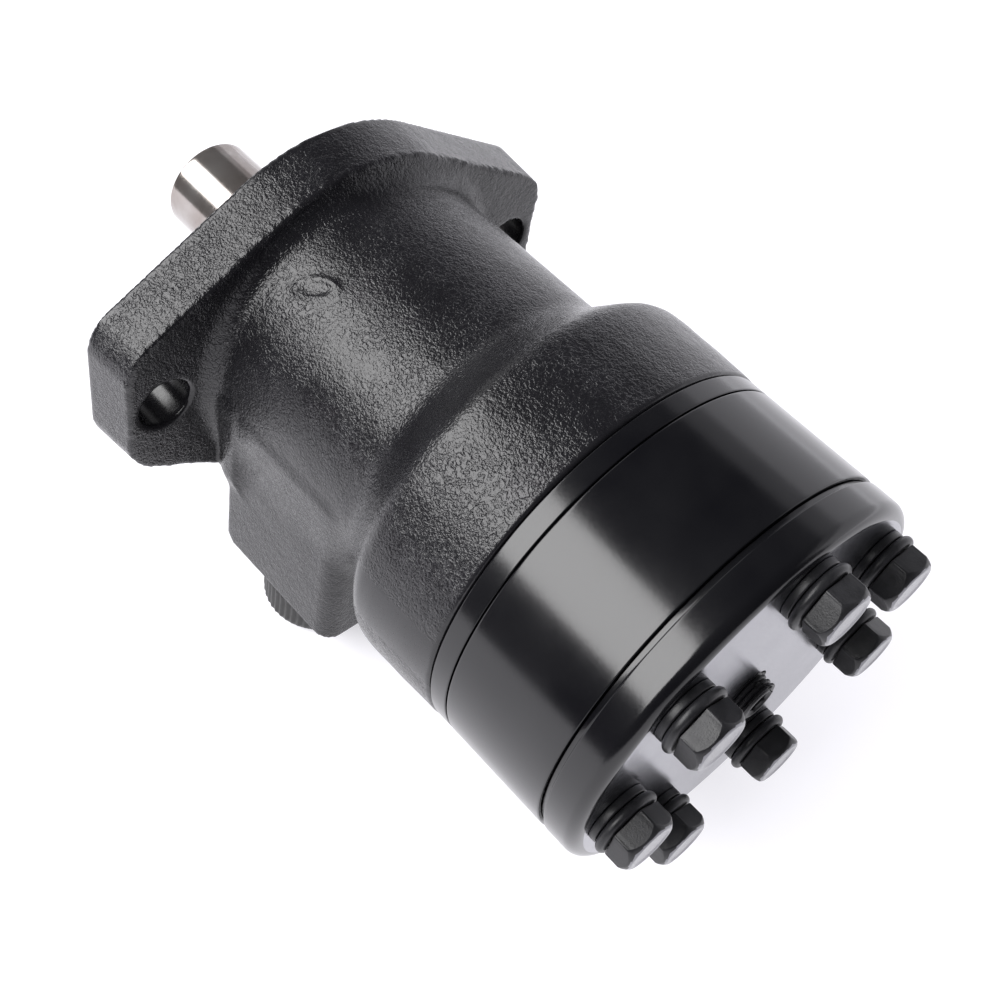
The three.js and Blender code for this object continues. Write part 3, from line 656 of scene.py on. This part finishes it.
def cast_relief(points, normal):
    """How far the raw casting stands off its ideal surface, in millimetres. Machined
    faces and bores stay true."""
    x, y, z = points.T
    rad = np.hypot(y, z)
    hole = np.minimum(np.hypot(y - HOLE_Y, z), np.hypot(y + HOLE_Y, z))
    raw = np.clip((-0.9 - x) / 0.8, 0, 1) * np.clip((x + 103.4) / 0.8, 0, 1)
    raw *= np.clip((rad - 30) / 3, 0, 1) * np.clip((hole - HOLE_R - 0.9) / 0.6, 0, 1)
    raw *= np.where((z < PORT_FACE_Z + 1.2) & (normal[:, 2] < -0.7), 0, 1)
    wave = np.array([noise.noise(Vector(p) / 7.0) for p in points])
    lump = np.array([noise.noise(Vector(p) / 2.6 + Vector((9, 4, 2))) for p in points])
    relief = raw * (0.07 * wave + 0.035 * lump)
    # a ragged bead runs along the flange's rear edge, where the mould parted
    outline = flange_outline(x, y, z)
    edge = np.exp(-((x + FLANGE_T - 0.7) / 0.8) ** 2) * np.exp(-((outline + 0.2) / 1.0) ** 2)
    ragged = np.array([noise.noise(Vector(p) / 1.9 + Vector((3, 8, 5))) for p in points])
    relief += 0.5 * edge * np.clip(ragged + 0.4 * wave + 0.1, -0.3, 0.8)
    # the oval mark left on top of the barrel
    around = (np.arctan2(z, y) - OVAL_ANGLE) * BARREL_R
    along = (0.6 * around - 0.8 * (x - OVAL_X)) / OVAL_HALF[0]
    across = (0.8 * around + 0.6 * (x - OVAL_X)) / OVAL_HALF[1]
    ring = np.hypot(along, across)
    oval = 0.38 * np.exp(-((ring - 1) / 0.24) ** 2) - 0.25 * np.exp(-((ring / 0.75) ** 4))
    oval *= 1 + 0.8 * lump
    relief += np.where((z > 0) & (x > -60) & (x < -16), oval, 0)
    return relief, raw


# ---------- turned pieces of the stack ----------

def edge_ring(rear, front, outer, inner, front_edge=0.35, rear_edge=0.35):
    """Closed profile of a ring with rounded outer edges."""
    f, b = front_edge, rear_edge
    return [
        (front, inner),
        (front, outer - f - 0.6),
        *arc(front - f, outer - f, f, 0, 90, 5),
        (front - f - 0.5, outer),
        (rear + b + 0.5, outer),
        *arc(rear + b, outer - b, b, 90, 180, 5),
        (rear, outer - b - 0.6),
        (rear, inner),
    ]


def spacer_plate():
    """The thin plate between the housing and the stator."""
    low, high = box_mm("spacer_plate")
    profile = edge_ring(low[0], high[0], BODY_R, 14.5, 0.3, 0.25)
    stands_for(lathe("plate_ring", profile, 192), "spacer_plate")


def stator():
    """Smooth outside, and a bore with a round pocket for each roller."""
    low, high = box_mm("stator_ring")
    rear, front = low[0], high[0]
    count = BOLTS * 32
    angles = full_turn(count)
    pitch = 2 * math.pi / BOLTS
    off = (angles + math.pi / 2 + pitch / 2) % pitch - pitch / 2
    inside = POCKET_R ** 2 - (ROLLER_CIRCLE_R * np.sin(off)) ** 2
    pocket = ROLLER_CIRCLE_R * np.cos(off) + np.sqrt(np.maximum(inside, 0))
    bore = np.where(inside > 0, np.maximum(pocket, STATOR_BORE_R), STATOR_BORE_R)
    outer = edge_ring(rear, front, BODY_R, 0, 0.45, 0.3)[1:-1]
    rings = [turned_ring(x, r, angles) for x, r in [(front, bore), *outer, (rear, bore)]]
    points, faces = rings_to_mesh(rings, True)
    stands_for(weighted(outward_object("stator_body", points, faces)), "stator_ring")


def cover():
    """A groove beside the stator, a plain band, and a rounded rim round the flat face."""
    low, high = box_mm("end_cover")
    rear, front = low[0], high[0]
    groove = BODY_R - 1.0
    profile = [
        (front, COVER_BORE_R),
        (front, groove),
        (front - 0.75, groove),
        (front - 1.0, groove + 0.1),
        *arc(front - 1.55, BODY_R - 0.35, 0.35, 30, 90, 4),
        (front - 2.2, BODY_R),
        (rear + 4.4, BODY_R),
        (rear + 3.7, BODY_R - 0.02),
        *arc(rear + 3.1, BODY_R - 3.1, 3.08, 92, 176, 14),
        (rear, BODY_R - 3.8),
        (rear, BODY_R - 5),
        (rear, 8.0),
        (rear, COVER_BORE_R + 0.5),
        (rear + 0.5, COVER_BORE_R),
    ]
    disc = stands_for(lathe("cover_disc", profile, 192), "end_cover")
    disc.data.materials.append(painted_reflection_coat("cover_face_painted_reflection", (0.26, 0.26, 0.285), (0.30, 0.30, 0.325)))
    # only the flat rear face takes the brighter copy: a painted reflection of the pale floor it
    # faces
    for polygon in disc.data.polygons:
        polygon.material_index = int(polygon.normal.x < -0.995)


# ---------- fasteners ----------

def hexagon():
    """Angles from a corner and the radius there, for a hexagon with rounded corners."""
    corner_r = 0.55
    centre_r = (HEAD_FLATS / 2 - corner_r) / math.cos(math.pi / 6)
    # the steps in degrees are finest beside each corner
    steps = np.array([0, 0.7, 1.5, 2.4, 3.6, 6.0, 11.0, 19.0, 30.0])
    side = np.radians(np.concatenate([-steps[:0:-1], steps[:-1]]))
    angles = np.concatenate([side + k * math.pi / 3 for k in range(6)])
    away = np.abs((angles + math.pi / 6) % (math.pi / 3) - math.pi / 6)
    flat = (HEAD_FLATS / 2) / np.cos(math.pi / 6 - away)
    reach = corner_r ** 2 - (centre_r * np.sin(away)) ** 2
    bulge = centre_r * np.cos(away) + np.sqrt(np.maximum(reach, 0))
    return angles, np.where(reach > 0, np.minimum(flat, bulge), flat)


def cover_bolt(index):
    """Forged hexagon head with a domed chamfer and a shallow dish, on a plain shank."""
    node = f"cover_bolt_{index + 1}"
    low, high = box_mm(node)
    centre = (low + high)[1:] / 2
    top, end = low[0], high[0]
    seat = top + HEAD_T
    angles, outline = hexagon()
    turn = math.pi / 2 + math.radians(HEAD_TURNS[index])
    flat_r, drop = 5.7, 0.42

    def ring(x, radius):
        return turned_ring(x, radius, angles + turn, centre)

    def fall(radius):
        over = np.maximum(radius - flat_r, 0)
        return top + drop * over + drop * over ** 2

    def brow(share):
        radius = flat_r + (outline - flat_r) * share
        return ring(fall(radius), radius)

    shoulder = fall(outline)
    rings = [
        ring(top + 0.22, 0.6),
        ring(top + 0.22, 4.3),
        ring(top + 0.15, 4.7),
        ring(top, 5.1),
        ring(top, flat_r - 0.2),
        brow(0.12),
        brow(0.4),
        brow(0.65),
        brow(0.85),
        ring(shoulder + 0.02, outline - 0.05),
        ring(shoulder + 0.18, outline),
        ring(shoulder * 0.5 + seat * 0.5, outline),
        ring(seat - 0.35, outline),
        ring(seat - 0.12, outline - 0.08),
        ring(seat, outline - 0.35),
        ring(seat, BOLT_SHANK_R + 0.4),
        ring(seat, BOLT_SHANK_R),
        ring(end, BOLT_SHANK_R),
    ]
    points, faces = with_tips(rings, [top + 0.22, *centre], [end, *centre])
    obj = outward_object(f"bolt_{index + 1}", points, faces, 38)
    stands_for(weighted(obj), node)
    obj.data.materials.append(HEAD_TOP_HIGHLIGHT)
    # the faces at the head's top take the brighter copy: a painted highlight
    for polygon in obj.data.polygons:
        polygon.material_index = int(polygon.center.x < (top + 0.3) * MM)


def washers(index):
    """A flat washer with rounded edges, and a lock washer that is round outside."""
    low, high = box_mm(f"flat_washer_{index + 1}")
    centre = tuple((low + high)[1:] / 2)
    outer = (high - low)[2] / 2
    profile = edge_ring(low[0], high[0] + GAP * 0.9, outer, WASHER_BORE_R, 0.25, 0.4)
    flat = lathe(f"washer_flat_{index + 1}", profile, 64, centre=centre)
    stands_for(flat, f"flat_washer_{index + 1}")
    low, high = box_mm(f"lock_washer_{index + 1}")
    outer = (high - low)[2] / 2
    rear, front = low[0] - 0.1, high[0] + 0.1
    half = (front - rear) / 2
    profile = [
        (front, WASHER_BORE_R),
        (front, outer - half - 0.4),
        *arc((rear + front) / 2, outer - half, half, 4, 176, 11),
        (rear, outer - half - 0.4),
        (rear, WASHER_BORE_R),
    ]
    lock = lathe(f"washer_lock_{index + 1}", profile, 64, centre=centre)
    stands_for(lock, f"lock_washer_{index + 1}")


def centre_plug():
    """Threaded plug with a hexagon socket; its thread is a row of fine ridges."""
    low, high = box_mm("cover_centre_plug")
    rear, front = low[0], high[0]
    outer, root, pitch = 5.2, 4.65, 1.25
    angles = full_turn(72)
    profile = [(front, root), (rear + 9.2, root)]
    x = rear + 8.8
    while x > rear + 0.9:
        profile += [(x, root), (x - pitch * 0.3, outer - 0.06), (x - pitch * 0.5, outer),
                    (x - pitch * 0.7, outer - 0.06)]
        x -= pitch
    profile += [(rear + 0.45, root), (rear + 0.12, root - 0.25), (rear, root - 0.6)]
    profile += [(rear, 3.7), (rear + 0.35, 3.4)]
    # the socket's corners are a little blunt
    corner = CENTRE_SOCKET / math.sqrt(3)
    hexed = np.minimum(hexagon_radius(CENTRE_SOCKET, angles), corner * 0.985)
    profile += [(rear + 0.6, hexed), (rear + 4.2, hexed)]
    rings = [turned_ring(x, r, angles) for x, r in profile]
    points, faces = with_tips(rings, [front, 0, 0], [rear + 4.6, 0, 0])
    obj = outward_object("plug_threaded", points, faces, 35)
    stands_for(weighted(obj), "cover_centre_plug")
    chip(rear)


def chip(rear):
    """A curl of metal left by the tap at the top of the plug's thread."""
    steps = np.linspace(0, 1, 22)
    wobble = np.array([noise.noise(Vector((5.0 * t, 2.3, 0.7))) for t in steps])
    xs = rear + 2.4 - 3.6 * steps + 0.5 * np.sin(9 * steps)
    ys = 0.4 - 0.9 * steps + 0.8 * wobble
    zs = 4.9 + 1.5 * np.sin(2.6 * steps) + 0.5 * np.cos(11 * steps) * steps
    path = np.stack([xs, ys, zs], axis=1)
    sides = 8
    turn = full_turn(sides)
    rings = []
    for i, centre in enumerate(path):
        ahead = path[min(i + 1, len(path) - 1)] - path[max(i - 1, 0)]
        ahead /= np.linalg.norm(ahead)
        across = np.cross(ahead, [0, 1, 0.2])
        across /= np.linalg.norm(across)
        up = np.cross(ahead, across)
        width = 0.26 * (1 - 0.75 * steps[i]) * (1 + 0.5 * wobble[i]) + 0.04
        rings.append(centre + width * (np.cos(turn)[:, None] * across
                                       + 0.55 * np.sin(turn)[:, None] * up))
    points, faces = rings_to_mesh(rings, False)
    faces.append(tuple(range(sides)))
    faces.append(tuple(range(len(points) - 1, len(points) - 1 - sides, -1)))
    obj = outward_object("plug_chip", points, faces, 60)
    obj.data.materials.append(MATERIALS["black_oxide"])
    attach(obj, "body")


# ---------- shaft, key and front seal ----------

def prism_on_key(name, rear, front, width, inner, outer):
    """A round-ended block along the shaft, standing radially at the key's angle."""
    half = width / 2
    outline = []
    for centre, start in ((front - half, -90), (rear + half, 90)):
        for a in np.radians(np.linspace(start, start + 180, 13)):
            outline.append((centre + half * math.cos(a), half * math.sin(a)))
    outline = np.array(outline)
    count = len(outline)
    turn = KEY_ANGLE - math.pi / 2
    layers = []
    for height in (inner, outer):
        flat = np.column_stack([outline, np.full(count, height)])
        y = flat[:, 1] * math.cos(turn) - flat[:, 2] * math.sin(turn)
        z = flat[:, 1] * math.sin(turn) + flat[:, 2] * math.cos(turn)
        layers.append(np.column_stack([flat[:, 0], y, z]))
    points, faces = rings_to_mesh(layers, False)
    faces.append(tuple(range(count)))
    faces.append(tuple(range(2 * count - 1, count - 1, -1)))
    return outward_object(name, points, faces)


def shaft():
    """The keyed end, the collar under the seals, the spool and its bore, and the key."""
    low, high = box_mm("output_shaft")
    rear, front = low[0], high[0]
    profile = [
        (front, 0), (front, 3.0), (front, 9.0), (front, SHAFT_R - 1.5),
        *arc(front - 0.35, SHAFT_R - 1.55, 0.35, 0, 45, 4),
        *arc(front - 1.35, SHAFT_R - 0.4, 0.4, 45, 90, 4),
        (front - 2.2, SHAFT_R), (30, SHAFT_R), (20, SHAFT_R), (4.6, SHAFT_R),
        (4.0, SHAFT_R + 0.05), (3.0, SHAFT_COLLAR_R), (2.4, SHAFT_COLLAR_R),
        (-19.7, SHAFT_COLLAR_R), (-19.7, SPOOL_R),
        (rear, SPOOL_R), (rear, 13.5), (-61, 13.5), (-61, 11.2), (-46.5, 11.2), (-46.5, 0),
    ]
    obj = lathe("shaft_turned", profile, 160, closed_loop=False)
    rear, front = KEYWAY
    floor_r = SHAFT_R - KEY_DEPTH
    cutter = prism_on_key("key_seat", rear, front, KEY_WIDTH, floor_r, SHAFT_R + 6)
    modifier = obj.modifiers.new("keyway", "BOOLEAN")
    modifier.operation = "DIFFERENCE"
    modifier.solver = "EXACT"
    modifier.object = cutter
    obj.modifiers.move(len(obj.modifiers) - 1, 0)
    apply_modifier(obj, "keyway")
    bpy.data.objects.remove(cutter)
    obj.data.set_sharp_from_angle(angle=math.radians(30))
    stands_for(obj, "output_shaft")
    key = prism_on_key("key_block", rear + GAP, front - GAP, KEY_WIDTH - 2 * GAP,
                       floor_r + GAP, SHAFT_R + KEY_STANDS)
    stands_for(weighted(bevelled(key, 0.35)), "shaft_key")


def apply_modifier(obj, name):
    bpy.context.view_layer.objects.active = obj
    with bpy.context.temp_override(object=obj, active_object=obj):
        bpy.ops.object.modifier_apply(modifier=name)


def dust_seal():
    """Flat outer ring, a dip, and a lip that leans forward onto the shaft."""
    low, high = box_mm("dust_seal")
    rear, front = low[0], high[0]
    profile = [
        (rear, 18.7), (front - 0.5, 18.7), *arc(front - 0.5, 18.3, 0.4, 90, 0, 4),
        (front - 0.1, 17.6), (front - 0.7, 17.1), (front - 0.9, 16.4), (front - 0.7, 15.8),
        (front + 0.2, 15.1), (front + 0.25, 14.8), (front - 0.2, 14.5), (front - 1.1, 14.45),
        (rear, 14.9),
    ]
    stands_for(lathe("seal_lip", profile, 128), "dust_seal")


# ---------- port and drain plugs ----------

def port_plug(node, name):
    """Moulded cap with rounded ribs and a dished end; the stem fills the port."""
    low, high = box_mm(node)
    place = ((low + high) / 2)[:2]
    outer = (high - low)[0] / 2
    bottom, top = low[2], PORT_FACE_Z - 0.05
    stem_top = high[2]
    ribs = 48
    angles = full_turn(ribs * 8)
    wave = 0.5 + 0.5 * np.cos(angles * ribs)
    ribbed = outer - 0.42 * (1 - wave ** 0.8)
    smooth = outer - 0.5

    def ring(z, radius):
        return level_ring(z, radius, angles, place)

    rings = [
        ring(stem_top, 0.5), ring(stem_top, 8.4), ring(stem_top - 0.8, 9.4),
        ring(top + 1.0, 9.6), ring(top, 9.8), ring(top, outer - 2.0), ring(top, outer - 1.2),
        ring(top - 0.4, smooth), ring(top - 1.3, smooth), ring(top - 1.8, ribbed - 0.1),
        ring(top - 2.2, ribbed), ring(bottom + 2.6, ribbed), ring(bottom + 1.7, ribbed - 0.15),
        ring(bottom + 0.8, smooth - 0.3), ring(bottom + 0.2, outer - 2.0),
        ring(bottom, outer - 3.0), ring(bottom, 10.0), ring(bottom + 0.2, 9.6),
        ring(bottom + 1.2, 9.2),
        ring(bottom + 1.4, 8.6), ring(bottom + 1.4, 0.5),
    ]
    points, faces = with_tips(rings, [*place, stem_top], [*place, bottom + 1.4])
    stands_for(weighted(outward_object(name, points, faces, 40)), node)


def drain_plug():
    """A disc head with a hexagon socket, on a threaded stem."""
    low, high = box_mm("drain_plug")
    place = ((low + high) / 2)[:2]
    bottom, stem_top = low[2], high[2]
    seat = bottom + 4.0
    count = 96
    angles = full_turn(count)
    hexed = hexagon_radius(DRAIN_SOCKET, angles)

    def ring(z, radius):
        return level_ring(z, radius, angles, place)

    rings = [ring(stem_top, 0.4), ring(stem_top, 5.0), ring(stem_top - 0.7, 5.6)]
    z = stem_top - 1.0
    while z > seat + 1.6:
        rings += [ring(z, 5.2), ring(z - 0.6, 5.7)]
        z -= 1.2
    rings += [
        ring(seat + 0.8, 5.2), ring(seat, 5.2), ring(seat, 8.6), ring(seat - 0.3, 9.0),
        ring(bottom + 0.9, 9.0), ring(bottom + 0.35, 8.75), ring(bottom, 8.2),
        ring(bottom, 4.2), ring(bottom + 0.5, 3.7), ring(bottom + 0.8, hexed),
        ring(bottom + 5.5, hexed), ring(bottom + 6.3, 0.4),
    ]
    points, faces = rings_to_mesh(rings, False)
    faces.append(tuple(range(count - 1, -1, -1)))
    faces.append(tuple(range(len(points) - count, len(points))))
    stands_for(weighted(outward_object("drain_screw", points, faces, 35)), "drain_plug")


# ---------- build ----------

cast_housing()
spacer_plate()
stator()
cover()
for number in range(BOLTS):
    cover_bolt(number)
    washers(number)
centre_plug()
shaft()
dust_seal()
port_plug("port_plug_a", "plug_cap_a")
port_plug("port_plug_b", "plug_cap_b")
drain_plug()

# the pieces kept from the CAD take the finish of their slot
for node, obj in frame["nodes"].items():
    if not obj.hide_render:
        obj.data.materials.clear()
        obj.data.materials.append(MATERIALS[SLOT_OF[node]])

# ---------- stage, light and camera ----------

FLOOR_Z = cad_box[0][2] - 0.0005
COOL = (0.955, 0.945, 1.0)


def stage_sheet(name, corners, material):
    """One flat face of the studio, which isn't part of the object."""
    mesh = bpy.data.meshes.new(name)
    mesh.from_pydata(corners, [], [(0, 1, 2, 3)])
    mesh.materials.append(material)
    obj = bpy.data.objects.new(name, mesh)
    bpy.context.scene.collection.objects.link(obj)
    return obj


def floor():
    """A wide pale sheet, faintly mottled. It glows a little, so that it stays white."""
    m = Nodes("floor_paper")
    m.set(Metallic=0.0, Roughness=0.9, IOR=1.3)
    tone = m.noise(6, 2.0, 0.5)
    colour = m.colours(tone, [(0.3, (0.53, 0.525, 0.545)), (0.7, (0.545, 0.54, 0.56))])
    m.link(colour, m.shader.inputs["Base Color"])
    m.link(colour, m.shader.inputs["Emission Color"])
    m.set(Emission_Strength=0.95)
    reach = 6.0
    corners = [(-reach, -reach), (reach, -reach), (reach, reach), (-reach, reach)]
    stage_sheet("floor", [(x, y, FLOOR_Z) for x, y in corners], m.material)


def panel(name, azimuth, elevation, distance, size, radiance, tint=(1, 1, 1), glossy=True):
    """A soft light that faces the object. Angles are in degrees, from +X round to +Y."""
    data = bpy.data.lights.new(name, "AREA")
    data.shape = "RECTANGLE"
    data.size, data.size_y = size
    data.energy = radiance * math.pi * size[0] * size[1]
    data.color = tint
    obj = bpy.data.objects.new(name, data)
    a, e = math.radians(azimuth), math.radians(elevation)
    toward = Vector((math.cos(e) * math.cos(a), math.cos(e) * math.sin(a), math.sin(e)))
    obj.location = toward * distance
    obj.rotation_euler = toward.to_track_quat("Z", "Y").to_euler()
    obj.visible_camera = False
    obj.visible_glossy = glossy
    bpy.context.scene.collection.objects.link(obj)


def flag():
    """A black card that only reflections see: it keeps a dark band beside the floor."""
    material = bpy.data.materials.new("flag_black")
    material.use_nodes = True
    inputs = material.node_tree.nodes["Principled BSDF"].inputs
    inputs["Base Color"].default_value = (0, 0, 0, 1)
    inputs["Specular IOR Level"].default_value = 0
    low, high, y = FLOOR_Z + 0.001, 0.07, 0.33
    corners = [(-0.6, y, low), (1.0, y, low), (1.0, y, high), (-0.6, y, high)]
    obj = stage_sheet("flag", corners, material)
    obj.visible_camera = False
    obj.visible_diffuse = False
    obj.visible_shadow = False


floor()
flag()
panel("softbox", 65, 38.5, 1.0, (1.25, 0.66), 8.4, (1.0, 0.995, 1.0))
panel("backdrop_low", -90, 14, 1.1, (2.6, 0.72), 1.15, COOL)
panel("backdrop_high", -90, 39, 1.1, (2.6, 0.32), 0.5, COOL)
panel("front_fill", -8, 24, 1.4, (0.7, 0.7), 1.0)
panel("overhead", -150, 80, 1.6, (2.0, 2.0), 0.9, glossy=False)

world = bpy.data.worlds.new("studio")
world.use_nodes = True
background = world.node_tree.nodes["Background"].inputs
background["Color"].default_value = (0.54, 0.54, 0.57, 1)
background["Strength"].default_value = 0.8
bpy.context.scene.world = world
world.cycles_visibility.glossy = False

bpy.context.scene.view_settings.view_transform = "Standard"

# behind the cover, above, and a little to one side
camera_data = bpy.data.cameras.new("camera")
camera_data.sensor_width = 36.0
camera_data.lens = 50.476
camera_data.clip_start = 0.01
camera = bpy.data.objects.new("camera", camera_data)
camera_turn = Euler([math.radians(angle) for angle in (39.3391, -9.5673, -132.5266)])
camera_place = Vector((-0.200192, 0.174518, 0.242171))
camera.matrix_world = Matrix.LocRotScale(camera_place, camera_turn, None)
bpy.context.scene.collection.objects.link(camera)
bpy.context.scene.camera = camera
